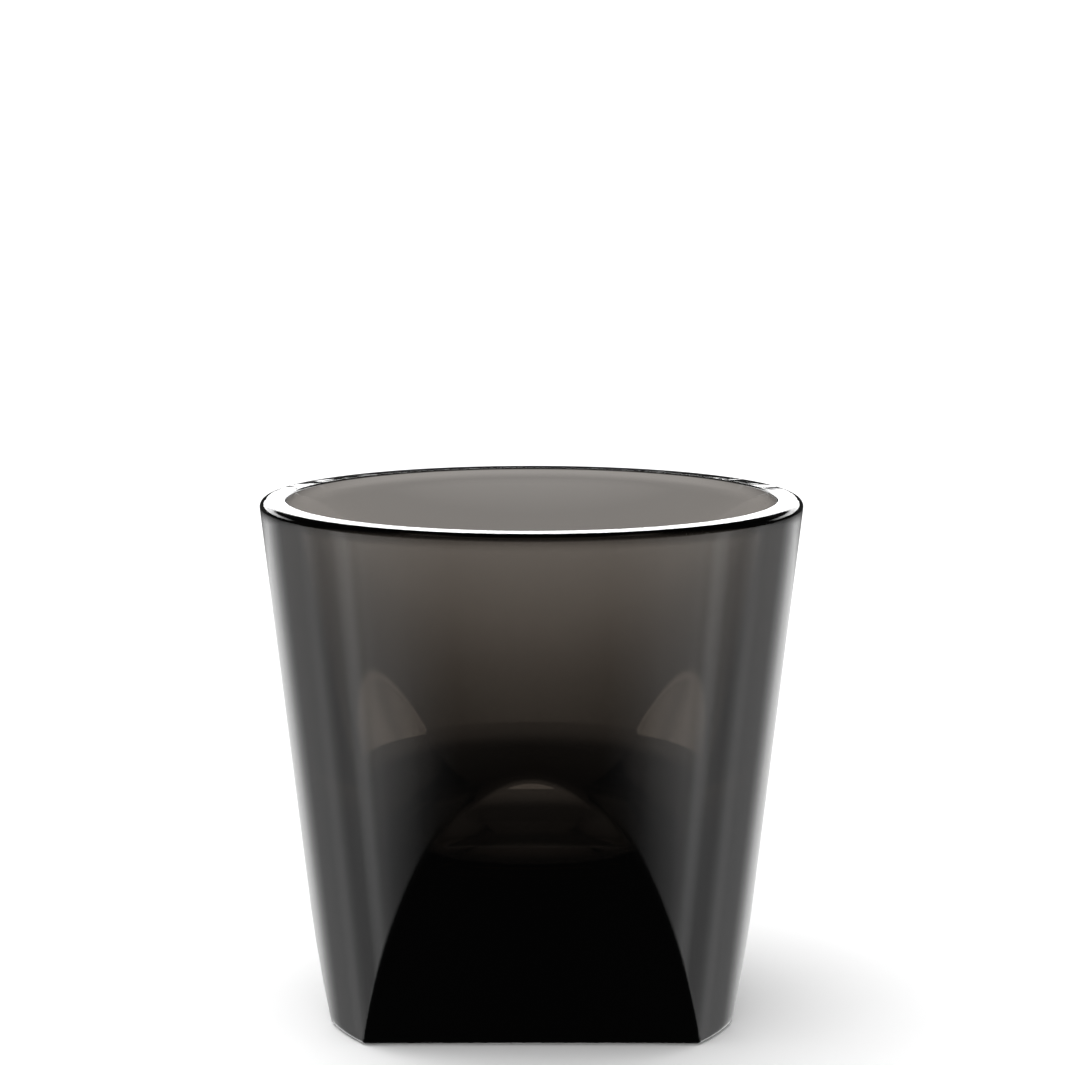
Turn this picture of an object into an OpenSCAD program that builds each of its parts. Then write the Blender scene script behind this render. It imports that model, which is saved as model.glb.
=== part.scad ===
// Whiskey tumbler in thick smoked glass: a gently flared cone on a deep solid base.
// Flat faces that lean outwards are cut from its lower half, and each ends in a tall arch.

/* [Body] */
// Height from the foot to the top of the lip
body_h = 84.5; // [76:0.5:96]
// Outside diameter at the lip
rim_d = 87.5; // [82:0.5:94]
// Diameter that the uncut cone has at the foot
base_d = 69; // [66:1:76]

/* [Cut faces] */
// Number of flat faces around the lower body
face_count = 3; // [3:1:4]
// Distance from the axis to each cut face, at the foot
face_dist = 21.9; // [20:0.1:28]
// Lean of each cut face away from upright, in degrees
face_lean = 20.6; // [18:0.2:23]

/* [Hollow] */
// Thickness of the wall at the lip
wall = 4.4; // [4:0.2:5.2]
// Extra lean of the hollow's wall, which makes the glass thicker downwards, in degrees
wall_taper = 5.4; // [3:0.2:7]
// Thickness of the solid glass under the hollow
base_thick = 29.5; // [27:0.5:36]
// Radius of the curve between the hollow's floor and its wall
corner_r = 8; // [5:1:11]

/* [Edges] */
// Radius of the round along the lip's outer edge
lip_r = 1.1; // [0.6:0.1:1.6]
// Radius of the smaller round along the lip's inner edge
lip_inner_r = 0.4; // [0.2:0.1:0.8]
// Radius of the rounded heel around the foot
heel_r = 1; // [0.4:0.1:1.4]
// Width of the bevel under each cut face
bevel = 0.3; // [0.2:0.1:1]

/* [Hidden] */
$fn = 160;

rim_r = rim_d / 2;
base_r = base_d / 2;

// The side of the cone starts at the foot and touches the outer round of the lip.
lip_z = body_h - lip_r;
lip_x = rim_r - lip_r;
lean = atan2(lip_x - base_r, lip_z) + asin(lip_r / norm([lip_x - base_r, lip_z]));
slope = tan(lean);

// The hollow's wall leans more than the side and touches the inner round of the lip.
inner_lean = lean + wall_taper;
lip_inner_z = body_h - lip_inner_r;
lip_inner_x = inner_r(lip_inner_z) + lip_inner_r / cos(inner_lean);

// The heel's circle touches the foot and the side.
heel_x = outer_r(heel_r) - heel_r / cos(lean);

// The corner's circle touches the hollow's floor and its wall.
corner_z = base_thick + corner_r;
corner_x = inner_r(corner_z) - corner_r / cos(inner_lean);

// A bevel leans halfway between its cut face and the foot.
bevel_lean = (90 + face_lean) / 2;

// Radius of the uncut cone at height z
function outer_r(z) = base_r + slope * z;

// Radius of the hollow's wall at height z
function inner_r(z) = outer_r(body_h) - wall / cos(lean) + tan(inner_lean) * (z - body_h);

// The point that lies r from a circle's centre, square to a wall that leans by angle
function beside(x, z, r, angle) = [x + r * cos(angle), z - r * sin(angle)];

// Half of the uncut glass, from the axis outwards
module half_section() {
    difference() {
        polygon([[0, 0], [heel_x, 0], [heel_x, heel_r], beside(heel_x, heel_r, heel_r, lean),
                 beside(lip_x, lip_z, lip_r, lean), [lip_x, lip_z], [lip_x, body_h],
                 [lip_inner_x, body_h], [lip_inner_x, lip_inner_z],
                 beside(lip_inner_x, lip_inner_z, -lip_inner_r, inner_lean),
                 beside(corner_x, corner_z, corner_r, inner_lean), [corner_x, corner_z],
                 [corner_x, base_thick], [0, base_thick]]);
        translate([corner_x, corner_z]) circle(corner_r);
    }
    translate([heel_x, heel_r]) circle(heel_r);
    translate([lip_x, lip_z]) circle(lip_r);
    translate([lip_inner_x, lip_inner_z]) circle(lip_inner_r);
}

// Everything outside a plane that meets the foot at dist from the axis and leans outwards
module beyond_plane(dist, angle) {
    translate([0, -dist, 0]) rotate([angle, 0, 0])
        translate([-rim_r, -rim_r, -rim_r]) cube([rim_d, rim_r, body_h + rim_r]);
}

module glass_body() {
    color([0.24, 0.23, 0.22, 0.8]) difference() {
        rotate_extrude() half_section();
        for (i = [0 : face_count - 1]) rotate([0, 0, i * 360 / face_count]) {
            beyond_plane(face_dist, face_lean);
            beyond_plane(face_dist - bevel, bevel_lean);
        }
    }
}

glass_body();
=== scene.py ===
"""A whiskey tumbler in thick smoked glass, standing on a plain white floor in soft studio light."""
import math
import bpy
import numpy as np
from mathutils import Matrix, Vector


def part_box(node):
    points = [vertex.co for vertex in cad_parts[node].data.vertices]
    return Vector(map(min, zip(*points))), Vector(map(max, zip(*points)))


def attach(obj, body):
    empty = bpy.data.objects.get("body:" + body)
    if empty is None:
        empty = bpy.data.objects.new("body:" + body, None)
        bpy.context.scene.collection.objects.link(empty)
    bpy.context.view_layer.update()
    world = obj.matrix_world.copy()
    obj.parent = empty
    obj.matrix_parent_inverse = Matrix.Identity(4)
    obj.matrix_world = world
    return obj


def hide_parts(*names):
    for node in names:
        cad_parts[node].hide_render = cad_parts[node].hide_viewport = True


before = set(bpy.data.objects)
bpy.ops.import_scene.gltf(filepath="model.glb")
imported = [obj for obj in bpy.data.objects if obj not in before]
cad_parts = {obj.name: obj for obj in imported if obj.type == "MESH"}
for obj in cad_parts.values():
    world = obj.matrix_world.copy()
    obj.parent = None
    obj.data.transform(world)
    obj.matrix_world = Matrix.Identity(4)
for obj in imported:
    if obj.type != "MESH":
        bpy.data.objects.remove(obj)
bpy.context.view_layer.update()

# ---------------------------------------------------------------- sizes, in metres and radians
LOW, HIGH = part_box("glass_body")
HEIGHT = HIGH[2]

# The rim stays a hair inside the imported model's facets.
CLEARANCE = 0.00001
RIM_R = min(HIGH[0], HIGH[1], -LOW[0], -LOW[1]) - CLEARANCE

BASE_R = 0.0345
FACE_COUNT = 3
FACE_DIST = 0.0219
FACE_LEAN = math.radians(20.6)
WALL = 0.0044
WALL_TAPER = math.radians(5.4)
BASE_THICK = 0.0295
CORNER_R = 0.008
LIP_R = 0.0011
LIP_INNER_R = 0.0004
HEEL_R = 0.0010
HEEL_R_FACE = 0.0003

# Width over which the heel grows from its radius under a face to its full radius
HEEL_BLEND = 0.0008

# Width over which a cut face melts into the cone
EDGE_SOFT = 0.00030

# Width of the thin ring that keeps smooth shading level beside a round
GUARD = 0.00002

# The side of the cone starts at the foot and touches the lip's outer round.
LIP_X = RIM_R - LIP_R
LIP_Z = HEIGHT - LIP_R
LEAN = (math.atan2(LIP_X - BASE_R, LIP_Z)
        + math.asin(LIP_R / math.hypot(LIP_X - BASE_R, LIP_Z)))
INNER_LEAN = LEAN + WALL_TAPER

# Height at which a cut face runs out of the cone
ARCH_Z = (BASE_R - FACE_DIST) / (math.tan(FACE_LEAN) - math.tan(LEAN))


def outer_r(z):
    """Radius of the uncut cone at height z."""
    return BASE_R + math.tan(LEAN) * z


def face_r(z):
    """Distance from the axis to a cut face at height z."""
    return FACE_DIST + math.tan(FACE_LEAN) * z


def inner_r(z):
    """Radius of the hollow's straight wall at height z."""
    return outer_r(HEIGHT) - WALL / math.cos(LEAN) - math.tan(INNER_LEAN) * (HEIGHT - z)


# ---------------------------------------------------------------- the glass, ring by ring
SECTOR = 2 * math.pi / FACE_COUNT

# Columns from the middle of a face to its edge, and from there to the middle of the cone between
COLUMNS_FACE = 34
COLUMNS_CONE = 30
COLUMN_CROWDING = 1.8

# The face's half width stays between this angle and this part of half a sector.
LEAST_EDGE = math.radians(1.2)
MOST_EDGE = 0.97

# Rings on each stretch of the section, from the foot's middle to the middle of the hollow's floor
FOOT_RINGS = 9
HEEL_RINGS = 7
FLANK_RINGS = 120
BAND_RINGS = 30
LIP_RINGS = 14
LIP_INNER_RINGS = 8
WALL_RINGS = 20
CORNER_RINGS = 32
FLOOR_RINGS = 6

# How strongly the rings crowd towards the arches' tops, from below and from above
FLANK_CROWDING = 2.0
BAND_CROWDING = 1.3

# Radius of the smallest ring of the foot and of the floor, as a part of the largest
FOOT_MIDDLE = 0.02
FLOOR_MIDDLE = 0.03


def soft_min(a, b, width):
    """The smaller of a and b, rounded over where they cross."""
    mix = np.clip(0.5 + 0.5 * (b - a) / width, 0, 1)
    return b * (1 - mix) + a * mix - width * mix * (1 - mix)


def cut_radius(sector, z):
    """Radius of the outside at height z and at an angle from the middle of the nearest face."""
    return soft_min(outer_r(z), face_r(z) / np.cos(sector), EDGE_SOFT)


def crowded(count, power):
    """count + 1 steps from 0 to 1 that crowd towards 1."""
    return 1 - (1 - np.linspace(0, 1, count + 1)) ** power


def cut_ring(z):
    """Azimuths and radii of the outside at height z, with columns that follow the arches."""
    half = SECTOR / 2
    edge = math.acos(min(face_r(z) / outer_r(z), 1))
    edge = min(max(edge, LEAST_EDGE), MOST_EDGE * half)
    on_face = edge * crowded(COLUMNS_FACE, COLUMN_CROWDING)
    on_cone = half - (half - edge) * crowded(COLUMNS_CONE, COLUMN_CROWDING)[::-1]
    right = np.concatenate([on_face, on_cone[1:]])
    sector = np.concatenate([-right[::-1][:-1], right])[:-1]
    azimuth = np.concatenate([sector + i * SECTOR for i in range(FACE_COUNT)])
    return azimuth, np.tile(cut_radius(sector, z), FACE_COUNT)


def foot_rings():
    """The flat foot and the heel around it, which is small under a cut face."""
    azimuth, radius = cut_ring(0)
    sector = (azimuth + SECTOR / 2) % SECTOR - SECTOR / 2
    room = np.clip((FACE_DIST / np.cos(sector) - radius) / HEEL_BLEND + 0.5, 0, 1)
    heel = HEEL_R_FACE + (HEEL_R - HEEL_R_FACE) * room
    flat = radius - heel
    rings = [(azimuth, flat * t, 0.0) for t in np.linspace(FOOT_MIDDLE, 1, FOOT_RINGS)[:-1]]
    rings.append((azimuth, flat - GUARD, 0.0))
    for turn in np.linspace(0, math.pi / 2, HEEL_RINGS):
        z = heel * (1 - math.cos(turn))
        rings.append((azimuth, cut_radius(sector, z) - heel * (1 - math.sin(turn)), z))
    return rings


def side_rings():
    """The outside above the heel: the flanks up to the arches' tops, then the band above."""
    low = HEEL_R + (ARCH_Z - HEEL_R) * crowded(FLANK_RINGS, FLANK_CROWDING)[1:]
    rise = np.linspace(0, 1, BAND_RINGS + 1)[1:] ** BAND_CROWDING
    high = ARCH_Z + (LIP_Z - ARCH_Z) * rise
    return [(*cut_ring(z), z) for z in np.concatenate([low, high])]


def lip_rings(azimuth):
    """The lip's outer round, its flat top and its small inner round."""
    ones = np.ones_like(azimuth)
    start = outer_r(LIP_Z)
    centre_z = HEIGHT - LIP_INNER_R
    centre_x = inner_r(centre_z) + LIP_INNER_R / math.cos(INNER_LEAN)
    rings = []
    for turn in np.linspace(0, math.pi / 2, LIP_RINGS + 1)[1:]:
        z = HEIGHT - LIP_R * (1 - math.sin(turn))
        rings.append((azimuth, ones * (start - LIP_R * (1 - math.cos(turn))), z))
    flat = start - LIP_R
    rings += [(azimuth, ones * x, HEIGHT) for x in (flat - GUARD, centre_x + GUARD, centre_x)]
    for turn in np.linspace(math.pi / 2, INNER_LEAN, LIP_INNER_RINGS + 1)[1:]:
        x = centre_x - LIP_INNER_R * math.cos(turn)
        rings.append((azimuth, ones * x, centre_z + LIP_INNER_R * math.sin(turn)))
    return rings


def hollow_rings(azimuth):
    """The hollow's wall, the curve under it and its flat floor."""
    ones = np.ones_like(azimuth)
    corner_z = BASE_THICK + CORNER_R
    corner_x = inner_r(corner_z) - CORNER_R / math.cos(INNER_LEAN)
    wall_end = corner_z - CORNER_R * math.sin(INNER_LEAN)
    wall_start = HEIGHT - LIP_INNER_R * (1 - math.sin(INNER_LEAN))
    wall = np.linspace(wall_start, wall_end, WALL_RINGS + 1)[1:]
    rings = [(azimuth, ones * inner_r(z), z) for z in wall]
    for turn in np.linspace(INNER_LEAN, math.pi / 2, CORNER_RINGS + 1)[1:]:
        x = corner_x + CORNER_R * math.cos(turn)
        rings.append((azimuth, ones * x, corner_z - CORNER_R * math.sin(turn)))
    floor = np.linspace(1, FLOOR_MIDDLE, FLOOR_RINGS + 1)[1:]
    rings += [(azimuth, ones * corner_x * t, BASE_THICK) for t in floor]
    return rings


def make_glass():
    """One closed skin of rings, from the middle of the foot round to the hollow's floor."""
    rings = foot_rings() + side_rings()
    azimuth = rings[-1][0]
    rings += lip_rings(azimuth) + hollow_rings(azimuth)
    count = len(azimuth)
    points = [np.stack([r * np.sin(a), -r * np.cos(a), np.broadcast_to(z, a.shape)], axis=1)
              for a, r, z in rings]
    vertices = np.concatenate(points + [[[0, 0, 0.0], [0, 0, BASE_THICK]]])
    here = np.arange(count)
    after = (here + 1) % count
    faces = []
    for i in range(len(rings) - 1):
        low, high = i * count, (i + 1) * count
        faces += np.stack([low + here, low + after, high + after, high + here], axis=1).tolist()
    foot, floor = len(vertices) - 2, len(vertices) - 1
    last = (len(rings) - 1) * count
    faces += [(foot, b, a) for a, b in zip(here.tolist(), after.tolist())]
    faces += [(floor, last + a, last + b) for a, b in zip(here.tolist(), after.tolist())]
    mesh = bpy.data.meshes.new("glass")
    mesh.from_pydata(vertices.tolist(), [], faces)
    mesh.polygons.foreach_set("use_smooth", [True] * len(mesh.polygons))
    mesh.update()
    glass = bpy.data.objects.new("glass", mesh)
    bpy.context.scene.collection.objects.link(glass)
    return glass


# ---------------------------------------------------------------- materials
def add_node(tree, kind, **inputs):
    """A new node with some of its inputs set to plain values."""
    node = tree.nodes.new(kind)
    for name, value in inputs.items():
        node.inputs[name].default_value = value
    return node


def smoked_glass():
    """Clear glass that soaks up light with depth, with the faint waves of pressed glass."""
    material = bpy.data.materials.new("smoked_glass")
    material.use_nodes = True
    tree = material.node_tree
    shader = tree.nodes["Principled BSDF"]
    shader.inputs["Base Color"].default_value = (1, 1, 1, 1)
    shader.inputs["Transmission Weight"].default_value = 1.0
    shader.inputs["IOR"].default_value = 1.52

    # Light lost per metre of glass in red, green and blue: a warm grey
    lost = (141.0, 153.0, 166.0)
    density = 1.02 * max(lost)
    soak = tree.nodes.new("ShaderNodeVolumeAbsorption")
    soak.inputs["Density"].default_value = density
    soak.inputs["Color"].default_value = (*[1 - v / density for v in lost], 1)
    tree.links.new(soak.outputs["Volume"], tree.nodes["Material Output"].inputs["Volume"])

    # Handling leaves the polish very slightly uneven.
    place = tree.nodes.new("ShaderNodeTexCoord")
    smears = add_node(tree, "ShaderNodeTexNoise", Scale=38.0, Detail=4.0, Roughness=0.55)
    polish = tree.nodes.new("ShaderNodeMapRange")
    polish.inputs["To Min"].default_value = 0.0
    polish.inputs["To Max"].default_value = 0.035
    tree.links.new(place.outputs["Object"], smears.inputs["Vector"])
    tree.links.new(smears.outputs["Fac"], polish.inputs["Value"])
    tree.links.new(polish.outputs["Result"], shader.inputs["Roughness"])

    # Upright waves left by the mould, stretched along the axis
    stretch = tree.nodes.new("ShaderNodeMapping")
    stretch.inputs["Scale"].default_value = (1.0, 1.0, 0.12)
    waves = add_node(tree, "ShaderNodeTexNoise", Scale=160.0, Detail=2.0, Roughness=0.5)
    bump = add_node(tree, "ShaderNodeBump", Strength=0.06, Distance=0.0003)
    tree.links.new(place.outputs["Object"], stretch.inputs["Vector"])
    tree.links.new(stretch.outputs["Vector"], waves.inputs["Vector"])
    tree.links.new(waves.outputs["Fac"], bump.inputs["Height"])
    tree.links.new(bump.outputs["Normal"], shader.inputs["Normal"])
    return material


def white_floor():
    """Matt white card."""
    material = bpy.data.materials.new("white_floor")
    material.use_nodes = True
    tree = material.node_tree
    shader = tree.nodes["Principled BSDF"]
    shader.inputs["Roughness"].default_value = 1.0
    shader.inputs["Specular IOR Level"].default_value = 0.0
    grain = add_node(tree, "ShaderNodeTexNoise", Scale=300.0, Detail=2.0)
    tone = tree.nodes.new("ShaderNodeMapRange")
    tone.inputs["To Min"].default_value = 0.93
    tone.inputs["To Max"].default_value = 0.95
    tree.links.new(grain.outputs["Fac"], tone.inputs["Value"])
    tree.links.new(tone.outputs["Result"], shader.inputs["Base Color"])
    return material


# ---------------------------------------------------------------- studio
def make_floor():
    """A wide plain floor just under the foot."""
    half, drop = 3.0, 0.00005
    mesh = bpy.data.meshes.new("floor")
    mesh.from_pydata([(-half, -half, 0), (half, -half, 0), (half, half, 0), (-half, half, 0)],
                     [], [(0, 1, 2, 3)])
    floor = bpy.data.objects.new("floor", mesh)
    floor.location.z = -drop
    bpy.context.scene.collection.objects.link(floor)
    mesh.materials.append(white_floor())
    # The glass meets the studio's own light and dark instead of this card.
    floor.visible_glossy = False
    floor.visible_transmission = False


# Height at which the painted shade collar ends, and at which its painted light starts to rise
SHADE_COLLAR_TOP = 0.0345
SHADE_COLLAR_FADE = 0.0290


def painted_shade_collar():
    """Painted shade: almost black low down, glowing with a little painted light at its upper edge."""
    material = bpy.data.materials.new("painted_shade_collar")
    material.use_nodes = True
    tree = material.node_tree
    place = tree.nodes.new("ShaderNodeTexCoord")
    axes = tree.nodes.new("ShaderNodeSeparateXYZ")
    glow = tree.nodes.new("ShaderNodeEmission")
    # The emission is painted shade and painted light, not a lamp: darkest low down, a faint glow at
    # the top.
    rise = tree.nodes.new("ShaderNodeMapRange")
    rise.interpolation_type = "SMOOTHSTEP"
    rise.inputs["From Min"].default_value = SHADE_COLLAR_FADE
    rise.inputs["From Max"].default_value = SHADE_COLLAR_TOP
    rise.inputs["To Min"].default_value = 0.05
    rise.inputs["To Max"].default_value = 0.20
    tree.links.new(place.outputs["Object"], axes.inputs[0])
    tree.links.new(axes.outputs["Z"], rise.inputs["Value"])
    tree.links.new(rise.outputs["Result"], glow.inputs["Strength"])
    tree.links.new(glow.outputs["Emission"], tree.nodes["Material Output"].inputs["Surface"])
    return material


def make_painted_shade_collar():
    """A low collar round the base, seen only through the glass: a faintly glowing sheet of painted
    shade that keeps the base dark.
    """
    count = 96
    low_r, low_z = 0.0365, 0.0002
    high_r = 0.0415
    turns = [2 * math.pi * i / count for i in range(count)]
    points = [(radius * math.sin(turn), radius * math.cos(turn), z)
              for radius, z in ((low_r, low_z), (high_r, SHADE_COLLAR_TOP)) for turn in turns]
    faces = [(i, (i + 1) % count, count + (i + 1) % count, count + i) for i in range(count)]
    mesh = bpy.data.meshes.new("shade_collar")
    mesh.from_pydata(points, [], faces)
    mesh.materials.append(painted_shade_collar())
    shade_collar = bpy.data.objects.new("shade_collar", mesh)
    bpy.context.scene.collection.objects.link(shade_collar)
    # Hidden from the camera, the floor's light and mirrors, so it only paints shade into what shows
    # through the glass.
    shade_collar.visible_camera = False
    shade_collar.visible_diffuse = False
    shade_collar.visible_glossy = False
    shade_collar.visible_shadow = False


class Sky:
    """Builds the world's shader: how bright the studio is in each direction."""

    def __init__(self):
        self.world = bpy.data.worlds.new("studio")
        self.world.use_nodes = True
        bpy.context.scene.world = self.world
        self.tree = self.world.node_tree

    def maths(self, operation, a, b=0.0):
        """The result of one Math node, from plain numbers or other nodes' outputs."""
        node = self.tree.nodes.new("ShaderNodeMath")
        node.operation = operation
        for socket, value in zip(node.inputs, (a, b)):
            if isinstance(value, float):
                socket.default_value = value
            else:
                self.tree.links.new(value, socket)
        return node.outputs[0]

    def steps(self, angle, low, high, stops):
        """Brightness that runs through (angle, brightness) stops."""
        top = max(value for _, value in stops)
        node = self.tree.nodes.new("ShaderNodeValToRGB")
        elements = node.color_ramp.elements
        ends = (stops[0], stops[-1])
        for element, (degrees, value) in zip(elements, ends):
            element.position = (degrees - low) / (high - low)
            element.color = (value / top, value / top, value / top, 1)
        for degrees, value in stops[1:-1]:
            element = elements.new((degrees - low) / (high - low))
            element.color = (value / top, value / top, value / top, 1)
        part = self.maths("DIVIDE", self.maths("SUBTRACT", angle, low), high - low)
        self.tree.links.new(part, node.inputs["Fac"])
        return self.maths("MULTIPLY", node.outputs["Color"], top)

    def between(self, angle, start, end):
        """A smooth rise from 0 at start to 1 at end, or a fall where end is the smaller."""
        node = self.tree.nodes.new("ShaderNodeMapRange")
        node.interpolation_type = "SMOOTHSTEP"
        node.inputs["From Min"].default_value = start
        node.inputs["From Max"].default_value = end
        self.tree.links.new(angle, node.inputs["Value"])
        return node.outputs["Result"]

    def choose(self, switch, off, on):
        """off where switch is 0, and on where it is 1."""
        off_part = self.maths("MULTIPLY", self.maths("SUBTRACT", 1.0, switch), off)
        return self.maths("ADD", off_part, self.maths("MULTIPLY", switch, on))


def mirrored_light(sky, azimuth, elevation):
    """What the glass mirrors: a dark front, a strip at each side, a backdrop and a high panel."""
    around = sky.steps(azimuth, 0.0, 180.0, [
        (0, 0.02), (46, 0.04), (54, 0.10), (58, 0.19), (66, 0.34), (74, 0.48), (80, 0.70),
        (86, 1.15), (90, 1.0), (94, 0.62), (102, 0.60), (106, 0.72), (110, 0.90), (114, 0.84),
        (118, 0.68), (126, 0.56), (132, 0.50), (138, 0.70), (144, 1.0), (150, 1.3), (158, 1.25),
        (166, 1.05), (180, 1.05)])

    # The side strips are brighter in their upper part.
    higher = sky.steps(azimuth, 0.0, 180.0, [
        (0, 0.0), (34, 0.0), (50, 0.28), (60, 0.38), (77, 0.38), (81, 0.15), (86, 0.28), (100, 0.0),
        (180, 0.0)])
    upper_part = sky.between(elevation, -27.5, -22.0)
    around = sky.maths("ADD", around, sky.maths("MULTIPLY", higher, upper_part))
    fade_up = sky.steps(elevation, -90.0, 90.0, [(-90, 1.0), (-10.5, 1.0), (-8.0, 0.03), (90, 0.0)])
    low_light = sky.maths("MULTIPLY", around, fade_up)

    # The panel behind starts just high enough to whiten the front of the lip and not the back.
    panel = sky.maths("MULTIPLY", sky.between(elevation, 7.00, 7.15),
                      sky.between(elevation, 20.0, 16.0))
    behind = sky.steps(azimuth, 0.0, 180.0, [(0, 0.0), (120, 0.0), (140, 1.0), (180, 1.0)])
    panel_light = sky.maths("MULTIPLY", sky.maths("MULTIPLY", panel, 3.0), behind)
    return sky.maths("ADD", low_light, panel_light)


def light_through(sky, elevation):
    """What shows through the glass: a dark table that ends at a grey backdrop."""
    return sky.steps(elevation, -90.0, 90.0, [
        (-90, 0.0), (-45, 0.01), (-35, 0.03), (-28, 0.06), (-22, 0.14), (-19, 0.26), (-17.5, 0.38),
        (-16, 0.55), (-14.9, 0.60), (-14, 0.64), (-12.5, 0.64), (-11.2, 0.50), (-10.6, 0.46),
        (-9.8, 0.53), (-9, 0.60), (-7, 0.62), (-3, 0.50), (3, 0.12), (35, 0.10), (90, 0.10)])


def light_studio():
    """White to the eye, and a darker studio to rays that the glass mirrors or lets through."""
    # Brightness of the background to the camera, and of the light that fills the floor
    seen = 1.15
    fill = 0.86

    sky = Sky()
    tree = sky.tree
    place = tree.nodes.new("ShaderNodeTexCoord")
    axes = tree.nodes.new("ShaderNodeSeparateXYZ")
    tree.links.new(place.outputs["Generated"], axes.inputs[0])

    # Directions in degrees: azimuth from the front, the same to both sides, and elevation
    degrees = 180 / math.pi
    across = sky.maths("ABSOLUTE", axes.outputs["X"])
    ahead = sky.maths("MULTIPLY", axes.outputs["Y"], -1.0)
    azimuth = sky.maths("MULTIPLY", sky.maths("ARCTAN2", across, ahead), degrees)
    elevation = sky.maths("MULTIPLY", sky.maths("ARCSINE", axes.outputs["Z"]), degrees)

    # A ray that passes through glass also counts as glossy, so it is taken out of the bounced ones.
    rays = tree.nodes.new("ShaderNodeLightPath")
    passed = rays.outputs["Is Transmission Ray"]
    bounced = sky.maths("MULTIPLY", rays.outputs["Is Glossy Ray"],
                        sky.maths("SUBTRACT", 1.0, passed))
    plain = sky.choose(rays.outputs["Is Diffuse Ray"], seen, fill)
    outside = sky.choose(bounced, plain, mirrored_light(sky, azimuth, elevation))
    strength = sky.choose(passed, outside, light_through(sky, elevation))
    background = tree.nodes["Background"]
    background.inputs["Color"].default_value = (1, 1, 1, 1)
    tree.links.new(strength, background.inputs["Strength"])


def add_softlight(name, toward, strength, spread):
    """A wide, far light in one direction. It brightens the floor and the glass mirrors none of it."""
    light = bpy.data.lights.new(name, "SUN")
    light.energy = strength
    light.angle = spread
    lamp = bpy.data.objects.new(name, light)
    lamp.rotation_euler = (-Vector(toward)).to_track_quat("-Z", "Y").to_euler()
    lamp.visible_glossy = False
    lamp.visible_transmission = False
    lamp.visible_camera = False
    bpy.context.scene.collection.objects.link(lamp)


def make_camera():
    """A long lens, a little above the rim and tilted down."""
    distance = 0.41329
    above = math.radians(12.92)
    aim_z = 0.04390
    tilt = 0.14235
    camera = bpy.data.cameras.new("camera")
    camera.sensor_width = 36.0
    camera.lens = 84.91
    camera.shift_x = 1 / 1065
    camera.clip_start = 0.01
    camera.clip_end = 50.0
    stand = bpy.data.objects.new("camera", camera)
    stand.location = (0, -distance * math.cos(above), aim_z + distance * math.sin(above))
    stand.rotation_euler = (math.pi / 2 - tilt, 0, 0)
    bpy.context.scene.collection.objects.link(stand)
    bpy.context.scene.camera = stand


# ---------------------------------------------------------------- build
make_camera()
make_floor()
make_painted_shade_collar()
light_studio()
add_softlight("key", toward=(-0.28, 0.02, 0.8), strength=1.9, spread=math.radians(75))
bpy.context.scene.view_settings.view_transform = "Standard"

glass = make_glass()
glass.data.materials.append(smoked_glass())
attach(glass, "root")
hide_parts("glass_body")
